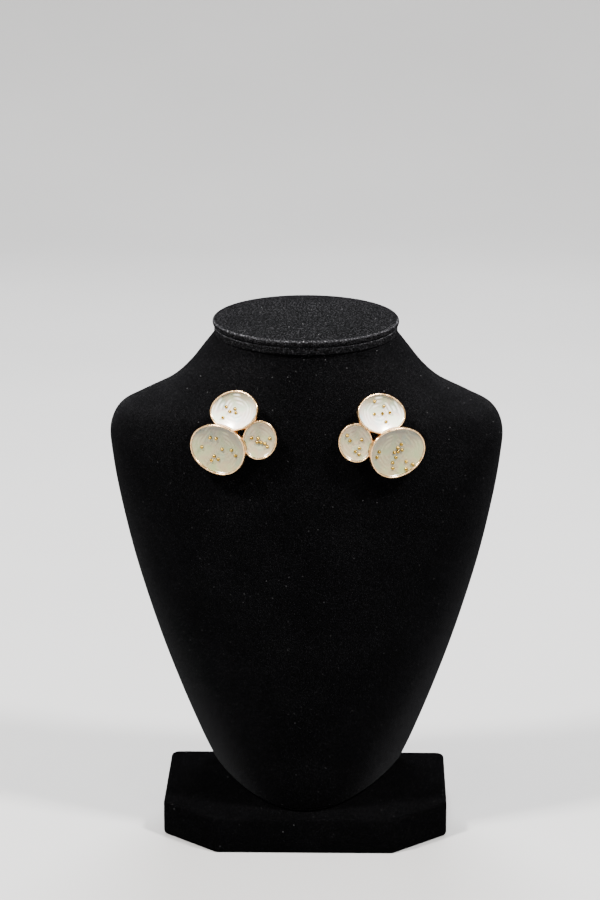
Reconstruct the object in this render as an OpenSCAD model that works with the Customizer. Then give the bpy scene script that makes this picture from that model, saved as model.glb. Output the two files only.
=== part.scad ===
// A pair of cluster button earrings pinned to the front of a small velvet-covered neck bust on its base.
// Millimetres. Z is up, the front of the bust faces -Y, and the origin is on the floor under the base's middle.
// Left and right are as seen from the front.

/* [Base] */
// Width of the base board
base_w = 95; // [80:1:130]
// Depth of the base board, front to back
base_d = 69.5; // [64:0.5:100]
// Thickness of the base board
base_t = 12; // [6:0.5:20]
// Length that each slanted front corner takes off the two edges it joins
corner_cut = 18; // [8:0.5:24]
// Radius of the two rear corners
rear_r = 3; // [1:0.5:8]

/* [Bust] */
// Clearance between the bust and the base, and between the cap and the neck
seat_gap = 0.2; // [0.1:0.05:0.4]
// Height of the widest place of the shoulders above the bust's foot
shoulder_h = 124.4; // [100:0.5:150]
// Height of the neck's mouth above the widest place of the shoulders
neck_h = 33.4; // [28:0.2:45]
// Width across the shoulders
shoulder_w = 130.4; // [110:0.5:150]
// Width of the foot
foot_w = 63.2; // [50:0.5:72]
// How far the chest comes forward of the base's middle
chest_front = 38; // [34:0.5:46]
// How far the foot comes forward of the base's middle
foot_front = 28.1; // [22:0.5:31]
// How far the foot goes back behind the base's middle
foot_back = 33; // [26:0.5:34.5]

/* [Neck] */
// Width of the neck's mouth
neck_w = 60; // [52:0.5:70]
// Depth of the neck's mouth, front to back
neck_d = 42; // [36:0.5:50]
// How far the middle of the mouth lies in front of the base's middle
neck_forward = 4.6; // [0:0.2:9]
// Angle by which the mouth and its cap tip to the front
neck_tip = 8.4; // [0:0.2:14]

/* [Neck cap] */
// Thickness of the cap from its underside to the top of its rolled edge
cap_t = 5; // [4.4:0.1:7]
// How far the cap's rolled edge stands out past the neck at the sides
cap_lip = 0.6; // [0.3:0.1:2]
// How much more it stands out in front and behind
cap_front_lip = 1.1; // [0:0.1:2]
// Height of the plain band under the cap's rolled edge
cap_band = 2.6; // [1.4:0.1:3]
// How far the band lies in behind the rolled edge
cap_band_in = 0.5; // [0.2:0.1:1]
// Rise of the cap's top above its rolled edge
cap_crown = 0.5; // [0:0.1:1.5]

/* [Earring places] */
// Distance of the left post from the bust's middle line
left_x = 24.9; // [21:0.1:30]
// Height of the left post's hole above the widest place of the shoulders
left_h = 2.4; // [-6:0.2:6]
// Distance of the right post from the bust's middle line
right_x = 27.1; // [21:0.1:30]
// Height of the right post's hole above the widest place of the shoulders
right_h = 1.6; // [-6:0.2:6]
// Height of the smallest cup's rim above the velvet at the post
rim_h = 5.2; // [4.6:0.1:7]

/* [Earring cups] */
// Length of the large cup, the longest of the three
large_l = 19; // [17:0.1:21]
// Depth of a cup from its rim to the lowest place of its underside
cup_depth = 3.4; // [3:0.1:4]
// How far a cup's rounded underside rises from its lowest place to its far end
cup_rise = 1.8; // [1.2:0.1:2]
// Width of the metal rim round a cup
rim_w = 0.5; // [0.35:0.05:0.8]
// Thickness of the metal under the enamel
cup_floor = 0.6; // [0.4:0.05:0.8]
// Radius of the drops of solder between the cups
solder_r = 1.1; // [0.8:0.1:1.4]
// Diameter of the seat behind the large cup that holds the post
seat_d = 5; // [3.5:0.1:7]
// Clearance between the seat and the velvet
seat_clear = 0.4; // [0.2:0.05:0.8]

/* [Enamel] */
// Clearance between the enamel and the metal round it
enamel_gap = 0.05; // [0.03:0.01:0.1]
// How far the enamel lies below the rim at a dish's far end
enamel_sink = 0.35; // [0.2:0.05:0.5]
// Depth of the dished enamel from its edge to its middle
dish_depth = 1.3; // [0.8:0.05:1.5]

/* [Gold balls] */
// Diameter of a gold ball
ball_d = 1.1; // [0.8:0.05:1.15]
// How deep a ball sits in the enamel
ball_sunk = 0.3; // [0.1:0.05:0.35]
// Clearance between a ball and its hollow
ball_gap = 0.05; // [0.03:0.01:0.08]

/* [Posts] */
// Diameter of an ear post
post_d = 0.9; // [0.7:0.05:1.1]
// Length of the post inside the bust
post_in = 8.5; // [6:0.5:12]
// Length of the post held in its seat
post_grip = 1.6; // [1.2:0.1:1.9]
// Clearance round the post in its seat
post_fit = 0.05; // [0.03:0.01:0.1]
// Clearance round the post in the bust's hole
hole_fit = 0.15; // [0.1:0.05:0.3]

/* [Hidden] */

velvet_colour = "#1b1b1e";
board_colour = "#101012";
gold_colour = "#d9b477";
ball_colour = "#d8a23f";
enamel_colour = "#e9e7de";

// A margin that lets a cutting shape pass a face
pass = 1;

// The bust's sections, from the foot up. Each length is a share of the named sizes it lies between.
// up to the shoulder row: height 0 at the foot and 1 at the shoulders, width and front 0 foot, 1 shoulders or chest
// above it: height 0 at the shoulders and 1 at the neck's mouth, width and front 0 neck, 1 shoulders or chest
// widest: where the section is widest, 0 at its front and 1 at its back
// bow: 1 for a front bowed as an ellipse, 2 as a parabola; back: 1 for a round back, less for a flat one
//  height  width  front  widest  bow   back
sections = [
  [0,      0,     0,     0.89,   1.9,  0.45],
  [0.09,   0.146, 0.23,  0.88,   1.75, 0.45],
  [0.237,  0.35,  0.54,  0.86,   1.5,  0.45],
  [0.41,   0.564, 0.81,  0.845,  1.3,  0.45],
  [0.615,  0.778, 0.96,  0.83,   1.15, 0.45],
  [0.795,  0.918, 1,     0.8,    1.05, 0.45],
  [0.923,  0.988, 0.94,  0.77,   1,    0.5],
  [1,      1,     0.83,  0.75,   1,    0.55],
  [0.217,  0.902, 0.76,  0.7,    1,    0.65],
  [0.36,   0.686, 0.645, 0.64,   1,    0.8],
  [0.506,  0.427, 0.51,  0.585,  1,    0.9],
  [0.674,  0.25,  0.32,  0.54,   1,    1],
  [0.88,   0.09,  0.09,  0.515,  1,    1],
  [1,      0,     0,     0.5,    1,    1]];
HEIGHT = 0;
WIDTH = 1;
FRONT = 2;
WIDEST = 3;
BOW = 4;
BACK = 5;
shoulder_row = 7;
rings_per_row = 3;
ring_points = 48;

// The three cups of an earring, in the plane of the velvet at the post, as on the left earring.
// The lengths are shares of the large cup's length.
// east, north: the middle of the cup from the post; the four reaches go out from there, turned by turn degrees
// lift: height of the rim over the smallest cup's; lean: how far the cup faces away, towards lean_to degrees
//  name    east    north   to_e   to_n   to_w   to_s   turn   power lift   lean lean_to
cup_shares = [
  ["large", -0.02,  -0.07,  0.449, 0.408, 0.551, 0.432, -14.7, 2.08, 0.063, 9,   235],
  ["upper", 0.187,  0.605,  0.428, 0.35,  0.447, 0.347, 3.3,   1.9,  0.026, 16,  120],
  ["small", 0.636,  0.133,  0.304, 0.331, 0.274, 0.333, -5.4,  2,    0,     13,  350]];
LARGE = 0;
UPPER = 1;
SMALL = 2;
outline_points = 48;

// The gold balls in each dish as [east, north] shares of the dish's reaches
left_balls = [
  [[-0.46, 0.32], [-0.26, 0.37], [-0.65, -0.19], [0.02, -0.01], [0.42, 0.1], [0.65, -0.06],
   [-0.18, -0.4], [-0.23, -0.6], [-0.02, -0.47]],
  [[-0.42, 0.24], [-0.26, 0], [-0.04, 0.14], [0.01, -0.07], [-0.52, -0.34]],
  [[-0.5, 0.03], [-0.07, 0.06], [0.64, 0.15], [-0.1, -0.16], [0.14, -0.14], [0.38, -0.17], [0.56, -0.31]]];
right_balls = [
  [[-0.31, 0.21], [-0.17, 0.11], [-0.29, -0.04], [-0.15, -0.06], [-0.02, -0.04], [-0.03, -0.26], [0.15, -0.43],
   [0.21, -0.65], [-0.32, -0.57], [-0.5, -0.76], [-0.25, -0.86], [0.6, 0.23], [0.75, 0.04]],
  [[0.21, 0.67], [-0.19, 0.43], [-0.43, 0.09], [-0.12, 0.04], [0.25, 0.01], [-0.24, -0.4]],
  [[0.49, 0.45], [0.36, 0.13], [-0.38, 0.1], [-0.16, -0.34], [0.12, -0.49], [-0.08, -0.66]]];

function mix(a, b, share) = a + (b - a) * share;
function smooth(share) = share * share * (3 - 2 * share);
function signed_power(v, p) = sign(v) * pow(abs(v), p);
function unit(v) = v / norm(v);
function total(list, last) = last == 0 ? list[0] : list[last] + total(list, last - 1);

// The bust's surface
foot_z = base_t + seat_gap;
mouth_z = foot_z + shoulder_h + neck_h;
neck_front = neck_d / 2 + neck_forward;
neck_back = neck_d / 2 - neck_forward;
last_row = len(sections) - 1;

// One section's true sizes: height, half width, front, widest place and back along Y, two powers and its tip
function row_sizes(i) =
  let (row = sections[i])
  let (low = i <= shoulder_row)
  let (z = low ? foot_z + row[HEIGHT] * shoulder_h : foot_z + shoulder_h + row[HEIGHT] * neck_h)
  let (half = mix(low ? foot_w : neck_w, shoulder_w, row[WIDTH]) / 2)
  let (front = -mix(low ? foot_front : neck_front, chest_front, row[FRONT]))
  let (back = mix(foot_back, neck_back, (z - foot_z) / (mouth_z - foot_z)))
  [z, half, front, mix(front, back, row[WIDEST]), back, row[BOW], row[BACK], low ? 0 : smooth(row[HEIGHT])];
rows = [for (i = [0:last_row]) row_sizes(i)];

// A smooth curve through the rows: s counts them, with 0 at the foot
function curve(a, b, c, d, u) =
  (2 * b + (c - a) * u + (2 * a - 5 * b + 4 * c - d) * u * u + (3 * b - 3 * c + d - a) * u * u * u) / 2;
function sizes_at(s) =
  let (i = min(floor(s), last_row - 1))
  curve(rows[max(i - 1, 0)], rows[i], rows[i + 1], rows[min(i + 2, last_row)], s - i);

// A point of the section that has these sizes, at angle t, with 270 degrees at the front. The back half fills
// more of its corners the flatter it is.
function section_point(q, t) =
  let (bowed = sin(t) <= 0)
  let (filled = bowed ? 1 : pow(pow(abs(cos(t)), 2 / q[6]) + pow(sin(t), 2 / q[6]), -q[6] / 2))
  let (x = q[1] * filled * cos(t))
  let (y = q[3] + (bowed ? (q[2] - q[3]) * pow(-sin(t), q[5]) : (q[4] - q[3]) * filled * sin(t)))
  [x, y, q[0] + q[7] * tan(neck_tip) * (y + neck_forward)];
function velvet_at(s, t) = section_point(sizes_at(s), t);

// Where the surface has a given height and distance from the middle line, on the front
function row_at(z, lo, hi, steps) =
  let (mid = (lo + hi) / 2)
  steps == 0 ? mid : sizes_at(mid)[0] < z ? row_at(z, mid, hi, steps - 1) : row_at(z, lo, mid, steps - 1);
function front_angle(s, x) = 270 + asin(x / sizes_at(s)[1]);
nudge = 0.01;
function outward(s, t) =
  unit(cross(velvet_at(s, t + nudge) - velvet_at(s, t - nudge), velvet_at(s + nudge, t) - velvet_at(s - nudge, t)));

// Rings of points closed with a lid at each end
function ring_faces(n, rings) =
  concat([[for (j = [0:n - 1]) j]],
    [for (i = [0:rings - 2]) for (j = [0:n - 1]) let (k = (j + 1) % n)
      each [[i * n + j, i * n + n + j, i * n + n + k], [i * n + j, i * n + n + k, i * n + k]]],
    [[for (j = [0:n - 1]) rings * n - 1 - j]]);
module skin(rings) {
  polyhedron([for (ring = rings) each ring], ring_faces(len(rings[0]), len(rings)));
}

// The base: a board with slanted front corners and rounded rear ones
function arc(centre, r, from, to, steps) =
  [for (i = [0:steps]) centre + r * [cos(mix(from, to, i / steps)), sin(mix(from, to, i / steps))]];
rear_steps = 6;
module base() {
  half_w = base_w / 2;
  half_d = base_d / 2;
  outline = concat(
    [[-half_w, corner_cut - half_d], [corner_cut - half_w, -half_d]],
    [[half_w - corner_cut, -half_d], [half_w, corner_cut - half_d]],
    arc([half_w - rear_r, half_d - rear_r], rear_r, 0, 90, rear_steps),
    arc([rear_r - half_w, half_d - rear_r], rear_r, 90, 180, rear_steps));
  color(board_colour)
    linear_extrude(base_t)
      polygon(outline);
}

// The bust: one moulded form through all the sections, with a hole for each post
module bust() {
  ring_count = last_row * rings_per_row;
  rings = [for (i = [0:ring_count]) [for (j = [0:ring_points - 1])
    velvet_at(i / rings_per_row, 360 * j / ring_points)]];
  color(velvet_colour)
    difference() {
      skin(rings);
      at_earring(left_place) post_hole();
      at_earring(right_place) post_hole();
    }
}

// The cap: an oval lid with a plain band below and a rolled edge above, tipped as the mouth is
roll_r = (cap_t - cap_band) / 2;
roll_steps = 6;
// Rows of inset from the cap's outline and height above its underside
cap_profile = concat(
  [[cap_band_in, 0], [cap_band_in, cap_band]],
  [for (i = [0:roll_steps]) let (t = mix(-70, 90, i / roll_steps))
    [roll_r * (1 - cos(t)), cap_band + roll_r * (1 + sin(t))]],
  [[roll_r * 4, cap_t + cap_crown * 0.5], [roll_r * 9, cap_t + cap_crown]]);
module neck_cap() {
  half_w = neck_w / 2 + cap_lip;
  half_d = neck_d / 2 + cap_lip + cap_front_lip;
  rings = [for (row = cap_profile) [for (j = [0:ring_points - 1]) let (t = 360 * j / ring_points)
    [(half_w - row[0]) * cos(t), (half_d - row[0]) * sin(t), row[1]]]];
  color(velvet_colour)
    translate([0, -neck_forward, mouth_z + seat_gap])
      rotate([neck_tip, 0, 0])
        skin(rings);
}

// The earrings' own frames. A place is [point on the velvet, direction away from it, side].
function ear_place(side, x, height) =
  let (s = row_at(foot_z + shoulder_h + height, 0, last_row, 24))
  let (t = front_angle(s, side * x))
  [velvet_at(s, t), outward(s, t), side];
left_place = ear_place(-1, left_x, left_h);
right_place = ear_place(1, right_x, right_h);

// Puts a shape drawn on the left earring's plane, Z away from the velvet, where an earring is.
// The right earring is drawn as the mirror image of the left one.
module at_earring(place) {
  away = place[1];
  east = unit([-away.y, away.x, 0]);
  north = cross(away, east);
  multmatrix([
    [east.x, north.x, away.x, place[0].x],
    [east.y, north.y, away.y, place[0].y],
    [east.z, north.z, away.z, place[0].z]])
    mirror([place[2] > 0 ? 1 : 0, 0, 0])
      children();
}

// The cups' true sizes and outlines
EAST = 1;
NORTH = 2;
TO_E = 3;
TO_N = 4;
TO_W = 5;
TO_S = 6;
TURN = 7;
POWER = 8;
LIFT = 9;
LEAN = 10;
LEAN_TO = 11;
function is_length(i) = (i >= EAST && i <= TO_S) || i == LIFT;
cups = [for (shares = cup_shares) [for (i = [0:LEAN_TO]) is_length(i) ? shares[i] * large_l : shares[i]]];
function reach_e(cup, v) = v > 0 ? cup[TO_E] : cup[TO_W];
function reach_n(cup, v) = v > 0 ? cup[TO_N] : cup[TO_S];
function longest(cup) = max(cup[TO_E], cup[TO_N], cup[TO_W], cup[TO_S]);
function outline(cup, inset) =
  [for (j = [0:outline_points - 1]) let (t = 360 * j / outline_points)
    [(reach_e(cup, cos(t)) - inset) * signed_power(cos(t), 2 / cup[POWER]),
     (reach_n(cup, sin(t)) - inset) * signed_power(sin(t), 2 / cup[POWER])]];

// Radius of the sphere that has this depth under a circle of radius a
function bowl_radius(a, depth) = (a * a + depth * depth) / (2 * depth);
function rim_height(cup) = rim_h + cup[LIFT];

// Puts a shape drawn round a cup's middle, with Z 0 at its rim, where the cup is
module at_cup(cup) {
  away = [cos(cup[LEAN_TO]), sin(cup[LEAN_TO]), 0];
  translate([cup[EAST], cup[NORTH], rim_height(cup)])
    rotate(cup[LEAN], cross([0, 0, 1], away))
      rotate([0, 0, cup[TURN]])
        children();
}

// A prism on a cup's outline with a rounded underside: inset makes it smaller all round, above its rim it
// goes up by top. With inset 0 it is the whole cup.
module round_block(cup, inset, under, top) {
  sphere_r = bowl_radius(longest(cup), cup_rise);
  intersection() {
    translate([0, 0, -cup_depth - pass])
      linear_extrude(cup_depth + pass + top)
        polygon(outline(cup, inset));
    translate([0, 0, sphere_r - cup_depth])
      sphere(sphere_r - under, $fn = 96);
  }
}

// The hollow of a cup, open upwards
module hollow(cup) {
  at_cup(cup) round_block(cup, rim_w, cup_floor, pass);
}

// Solder sits where two cups meet, on the side of the gap between all three
function reach_towards(cup, angle) =
  let (a = angle - cup[TURN])
  let (e = abs(cos(a)) / reach_e(cup, cos(a)))
  let (n = abs(sin(a)) / reach_n(cup, sin(a)))
  pow(pow(e, cup[POWER]) + pow(n, cup[POWER]), -1 / cup[POWER]);
function middle(cup) = [cup[EAST], cup[NORTH]];
function edge_towards(cup, other) =
  let (d = middle(other) - middle(cup))
  middle(cup) + unit(d) * reach_towards(cup, atan2(d.y, d.x));
function meeting(a, b) = (edge_towards(a, b) + edge_towards(b, a)) / 2;
meetings = [meeting(cups[LARGE], cups[UPPER]), meeting(cups[UPPER], cups[SMALL]), meeting(cups[SMALL], cups[LARGE])];
gap_middle = total(meetings, 2) / 3;
// How far the solder creeps from the meeting of two cups towards the gap, and how far it lies under the rims
solder_creep = solder_r * 0.6;
solder_below = cup_depth * 0.55;

// The metal of one earring: three cups, their solder and the seat for the post, all one solid
module setting(place) {
  color(gold_colour)
    at_earring(place)
      difference() {
        union() {
          cup_shell(LARGE);
          cup_shell(UPPER);
          cup_shell(SMALL);
          difference() {
            union() {
              for (m = meetings)
                translate(concat(m + unit(gap_middle - m) * solder_creep, [rim_h - solder_below + cups[UPPER][LIFT]]))
                  sphere(solder_r, $fn = 24);
              translate([0, 0, seat_clear])
                cylinder(h = large_floor() - seat_clear, d = seat_d, $fn = 48);
            }
            for (cup = cups)
              hollow(cup);
          }
        }
        translate([0, 0, seat_clear - pass])
          cylinder(h = post_grip + post_fit + pass, d = post_d + 2 * post_fit, $fn = 32);
      }
}
// Height of the lowest place of the large cup's hollow above the velvet, near enough over the post
function large_floor() = rim_height(cups[LARGE]) - cup_depth + cup_floor;

// A cup's own shell, cut clear of the hollows of the cups in front of it
module cup_shell(i) {
  difference() {
    at_cup(cups[i]) round_block(cups[i], 0, 0, 0);
    for (j = [0:i])
      hollow(cups[j]);
  }
}

// The dished enamel of one cup, with a hollow for each ball, cut clear of the cups in front of it
function dish_radius(cup) = bowl_radius(longest(cup) - rim_w, dish_depth);
function dish_centre(cup) = dish_radius(cup) - dish_depth - enamel_sink;
module enamel(place, i, balls) {
  cup = cups[i];
  color(enamel_colour)
    at_earring(place)
      difference() {
        at_cup(cup)
          difference() {
            round_block(cup, rim_w + enamel_gap, cup_floor + enamel_gap, -enamel_sink);
            translate([0, 0, dish_centre(cup)])
              sphere(dish_radius(cup), $fn = 96);
            for (ball = balls)
              translate(ball_centre(cup, ball))
                sphere(ball_d / 2 + ball_gap, $fn = 24);
          }
        if (i > 0)
          for (j = [0:i - 1])
            at_cup(cups[j]) round_block(cups[j], -enamel_gap, -enamel_gap, pass);
      }
}

// The middle of a ball on the dished enamel
function ball_centre(cup, share) =
  let (e = share[0] * (reach_e(cup, share[0]) - rim_w))
  let (n = share[1] * (reach_n(cup, share[1]) - rim_w))
  let (r = dish_radius(cup) - ball_d / 2 + ball_sunk)
  [e, n, dish_centre(cup) - sqrt(r * r - e * e - n * n)];
module beads(place, i, balls) {
  color(ball_colour)
    at_earring(place)
      at_cup(cups[i])
        for (ball = balls)
          translate(ball_centre(cups[i], ball))
            sphere(d = ball_d, $fn = 24);
}

// The ear post: a plain pin with a pointed tip, from its seat into the bust
tip_len = post_d;
module post(place) {
  color(gold_colour)
    at_earring(place) {
      translate([0, 0, tip_len - post_in])
        cylinder(h = post_in - tip_len + seat_clear + post_grip, d = post_d, $fn = 32);
      translate([0, 0, -post_in])
        cylinder(h = tip_len, d1 = post_d / 3, d2 = post_d, $fn = 32);
    }
}
module post_hole() {
  translate([0, 0, -post_in - seat_clear])
    cylinder(h = post_in + seat_clear + pass, d = post_d + 2 * hole_fit, $fn = 32);
}

base();
bust();
neck_cap();
setting(left_place);  // left_setting
post(left_place);  // left_post
enamel(left_place, UPPER, left_balls[UPPER]);  // left_enamel_upper
enamel(left_place, LARGE, left_balls[LARGE]);  // left_enamel_large
enamel(left_place, SMALL, left_balls[SMALL]);  // left_enamel_small
beads(left_place, UPPER, left_balls[UPPER]);  // left_beads_upper
beads(left_place, LARGE, left_balls[LARGE]);  // left_beads_large
beads(left_place, SMALL, left_balls[SMALL]);  // left_beads_small
setting(right_place);  // right_setting
post(right_place);  // right_post
enamel(right_place, UPPER, right_balls[UPPER]);  // right_enamel_upper
enamel(right_place, LARGE, right_balls[LARGE]);  // right_enamel_large
enamel(right_place, SMALL, right_balls[SMALL]);  // right_enamel_small
beads(right_place, UPPER, right_balls[UPPER]);  // right_beads_upper
beads(right_place, LARGE, right_balls[LARGE]);  // right_beads_large
beads(right_place, SMALL, right_balls[SMALL]);  // right_beads_small
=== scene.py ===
# %% [markdown]
# # Cluster button earrings on a neck bust
# A pair of earrings, each of three soldered cups with pearly enamel and small gold balls, is pinned to a
# black velvet neck bust. The CAD part gives every place and size. This lesson gives the surfaces: velvet
# pile, plated rims, enamel with a brushed swirl, and the light that shows them.
#
# The first cell loads the imported part. The finished pieces have to stay inside it.

# %% Load the imported part
import math
from collections import Counter, namedtuple

import bmesh
import bpy
import numpy as np
from mathutils import Matrix, Vector


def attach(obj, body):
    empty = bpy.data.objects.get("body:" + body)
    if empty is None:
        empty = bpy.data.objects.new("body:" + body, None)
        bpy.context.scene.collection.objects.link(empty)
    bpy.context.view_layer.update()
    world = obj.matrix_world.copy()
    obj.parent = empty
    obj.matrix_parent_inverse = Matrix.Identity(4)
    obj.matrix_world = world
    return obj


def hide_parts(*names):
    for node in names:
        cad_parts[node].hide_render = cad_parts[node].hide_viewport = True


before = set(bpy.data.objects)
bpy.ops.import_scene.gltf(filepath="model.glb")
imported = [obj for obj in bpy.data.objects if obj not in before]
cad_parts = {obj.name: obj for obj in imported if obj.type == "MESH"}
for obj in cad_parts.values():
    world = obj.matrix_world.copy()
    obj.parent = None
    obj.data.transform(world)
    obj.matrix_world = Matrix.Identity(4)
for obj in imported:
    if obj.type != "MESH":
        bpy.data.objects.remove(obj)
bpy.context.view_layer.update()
MM = 0.001

# %% [markdown]
# ## The camera
# A product photograph is taken from some way off with a long lens, so that the shoulders and the neck keep
# their proportions. The camera here stands 1.13 m away, looks 14 degrees down, and turns one degree to the
# left. A camera could be aimed with a constraint, but three plain axes written into its matrix are easier
# to check.

# %% Put up the camera
LONG_SIDE_PX, FOCAL_PX, SENSOR_MM = 900, 3400.0, 36.0
CAMERA_AWAY = 1129.2
yaw, down = math.radians(-1.138), math.radians(13.812)
aim = Vector((-2.02, 0.0, 129.08)) * MM
forward = Vector((math.sin(yaw) * math.cos(down), math.cos(yaw) * math.cos(down), -math.sin(down)))
sideways = Vector((math.cos(yaw), -math.sin(yaw), 0.0))
upward = sideways.cross(forward)
camera_data = bpy.data.cameras.new("studio_camera")
camera_data.sensor_width = SENSOR_MM
camera_data.lens = FOCAL_PX / LONG_SIDE_PX * SENSOR_MM
camera_data.clip_start, camera_data.clip_end = 0.05, 20.0
camera = bpy.data.objects.new("studio_camera", camera_data)
axes = Matrix((sideways, upward, -forward)).transposed().to_4x4()
camera.matrix_world = Matrix.Translation(aim - forward * (CAMERA_AWAY * MM)) @ axes
bpy.context.scene.collection.objects.link(camera)
bpy.context.scene.camera = camera
print("lens", round(camera_data.lens, 1), "mm, from", [round(v, 3) for v in camera.matrix_world.translation])

# %% [markdown]
# ## The table and the light
# Black velvet shows its form by the light that grazes it. Two soft lamps hang high on the left and on the
# right, so each earring throws one shadow down and inwards and another outwards. A weaker lamp between them
# lights the rolled edge of the cap, and one behind gives the sheen on the cap and the shoulders. The floor
# is one pale round sheet that curves up on all sides, as in a photographer's sweep, so no line shows where
# it ends, and the polished rims have something pale to mirror.

# %% Lay the table
SWEEP_R, SWEEP_H, SWEEP_BEND, BEND_STEPS, SIDES = 1.9, 3.0, 0.8, 24, 96


def add_mesh(name, points, faces):
    """A new mesh object at the origin, in metres."""
    mesh = bpy.data.meshes.new(name)
    mesh.from_pydata([tuple(p) for p in points], [], [tuple(f) for f in faces])
    mesh.update()
    made = bpy.data.objects.new(name, mesh)
    bpy.context.scene.collection.objects.link(made)
    return made


def full_turn(steps):
    """The angles of so many equal steps round a circle, in radians."""
    return [2 * math.pi * j / steps for j in range(steps)]


def net_faces(rows, columns, closed=True):
    """The quads between the rows of a net; a closed net joins its last column to its first."""
    pairs = [(j, (j + 1) % columns) for j in range(columns if closed else columns - 1)]
    return [(i * columns + j, i * columns + k, (i + 1) * columns + k, (i + 1) * columns + j)
            for i in range(rows - 1) for j, k in pairs]


def sweep_profile(radius, height, bend, steps):
    """Points (distance out, z) of a floor that bends up all round and becomes a wall."""
    arc = [math.radians(90 * k / steps) for k in range(steps + 1)]
    bent = [(radius - bend + bend * math.sin(a), bend - bend * math.cos(a)) for a in arc]
    return [(bend / 2, 0.0)] + bent + [(radius, height)]


profile = sweep_profile(SWEEP_R, SWEEP_H, SWEEP_BEND, BEND_STEPS)
points = [(out * math.cos(a), out * math.sin(a), z) for out, z in profile for a in full_turn(SIDES)]
faces = [face[::-1] for face in net_faces(len(profile), SIDES)]
table = add_mesh("pale_sweep", points, faces + [tuple(range(SIDES))])
table.data.shade_smooth()
print("sweep:", len(table.data.polygons), "faces")

# %% [markdown]
# A material in Blender is a small network. A few helpers keep the cells short: one adds a node and fills
# its inputs, others wrap the nodes that come back most, and one starts a material and hands back its main
# shader. The table's finish is nearly plain: a pale grey with a trace of unevenness, as on painted board.

# %% Helpers that add a node
def add_node(tree, kind, values=None, **settings):
    """Adds a node; each value goes to the input of that name or number and may be a socket to link from."""
    made = tree.nodes.new(kind)
    for key, value in settings.items():
        setattr(made, key, value)
    for key, value in (values or {}).items():
        if isinstance(value, bpy.types.NodeSocket):
            tree.links.new(value, made.inputs[key])
        else:
            made.inputs[key].default_value = value
    return made


def calculator(tree):
    """A function that adds a Math node to this tree and gives its result."""
    def calc(operation, *values):
        return add_node(tree, "ShaderNodeMath", dict(enumerate(values)), operation=operation).outputs[0]

    return calc


def noise(tree, where, scale, detail):
    """A Noise node's value, which swings round a half."""
    values = {"Vector": where, "Scale": scale, "Detail": detail}
    return add_node(tree, "ShaderNodeTexNoise", values).outputs[0]


def remap(tree, value, low, high, to_low=0.0, to_high=1.0, **settings):
    """A Map Range node's result; each end is a number or a socket."""
    ends = {"Value": value, "From Min": low, "From Max": high, "To Min": to_low, "To Max": to_high}
    return add_node(tree, "ShaderNodeMapRange", ends, **settings).outputs[0]


def ramp(tree, value, stops):
    """A colour ramp through stops of (place, colour)."""
    made = add_node(tree, "ShaderNodeValToRGB", {0: value})
    elements = made.color_ramp.elements
    while len(elements) < len(stops):
        elements.new(0.5)
    for element, (place, colour) in zip(elements, stops):
        element.position, element.color = place, (*colour, 1.0)
    return made.outputs[0]


def blend(tree, share, first, second, mode="MIX"):
    """Mixes two colours, each a value or a socket."""
    colours = [c if isinstance(c, bpy.types.NodeSocket) else (*c, 1.0) for c in (first, second)]
    return add_node(tree, "ShaderNodeMix", {0: share, 6: colours[0], 7: colours[1]},
                    data_type="RGBA", blend_type=mode).outputs[2]

# %% Helpers for a material, and the table's paint
DARK_PAINT, LIGHT_PAINT = (0.36, 0.36, 0.365), (0.4, 0.4, 0.405)


def new_material(name, colour, roughness):
    """A material with its tree and its main shader."""
    made = bpy.data.materials.new(name)
    made.use_nodes = True
    made.diffuse_color = (*colour, 1.0)
    shader = made.node_tree.nodes["Principled BSDF"]
    shader.inputs["Base Color"].default_value = (*colour, 1.0)
    shader.inputs["Roughness"].default_value = roughness
    return made, made.node_tree, shader


def dress(obj, material):
    """Gives an object one material."""
    obj.data.materials.clear()
    obj.data.materials.append(material)


def add_bump(tree, shader, height, strength, depth):
    """Raises a pattern on the surface, by a depth in metres."""
    bump = add_node(tree, "ShaderNodeBump", {"Height": height, "Strength": strength, "Distance": depth})
    tree.links.new(bump.outputs[0], shader.inputs["Normal"])


paint, tree, shader = new_material("pale_table", (0.38, 0.38, 0.385), 0.7)
cloudy = noise(tree, add_node(tree, "ShaderNodeTexCoord").outputs["Object"], 3.0, 4.0)
tree.links.new(ramp(tree, cloudy, [(0.3, DARK_PAINT), (0.7, LIGHT_PAINT)]), shader.inputs["Base Color"])
dress(table, paint)
print("table painted")

# %% Hang the lamps
def add_lamp(name, place, target, size, watts, colour):
    """A square soft lamp that faces its target."""
    data = bpy.data.lights.new(name, "AREA")
    data.shape, data.size, data.energy, data.color = "SQUARE", size, watts, colour
    lamp = bpy.data.objects.new(name, data)
    lamp.location = place
    lamp.rotation_euler = (Vector(target) - Vector(place)).to_track_quat("-Z", "Y").to_euler()
    bpy.context.scene.collection.objects.link(lamp)


chest = (0.0, -0.03, 0.13)
add_lamp("left_lamp", (-0.85, -0.62, 1.35), chest, 0.2, 76.0, (1.0, 0.97, 0.92))
add_lamp("right_lamp", (0.85, -0.62, 1.35), chest, 0.2, 74.0, (1.0, 0.97, 0.93))
add_lamp("front_lamp", (0.0, -0.45, 1.70), chest, 0.1, 3.0, (1.0, 0.98, 0.95))
add_lamp("back_lamp", (0.0, 0.75, 1.15), chest, 0.5, 36.0, (0.96, 0.98, 1.0))
ROOM_COLOUR, ROOM_STRENGTH = (0.8, 0.82, 0.85, 1.0), 0.05
world = bpy.data.worlds.new("soft_room")
world.use_nodes = True
room = world.node_tree.nodes["Background"].inputs
room[0].default_value, room[1].default_value = ROOM_COLOUR, ROOM_STRENGTH
bpy.context.scene.world = world
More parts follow.
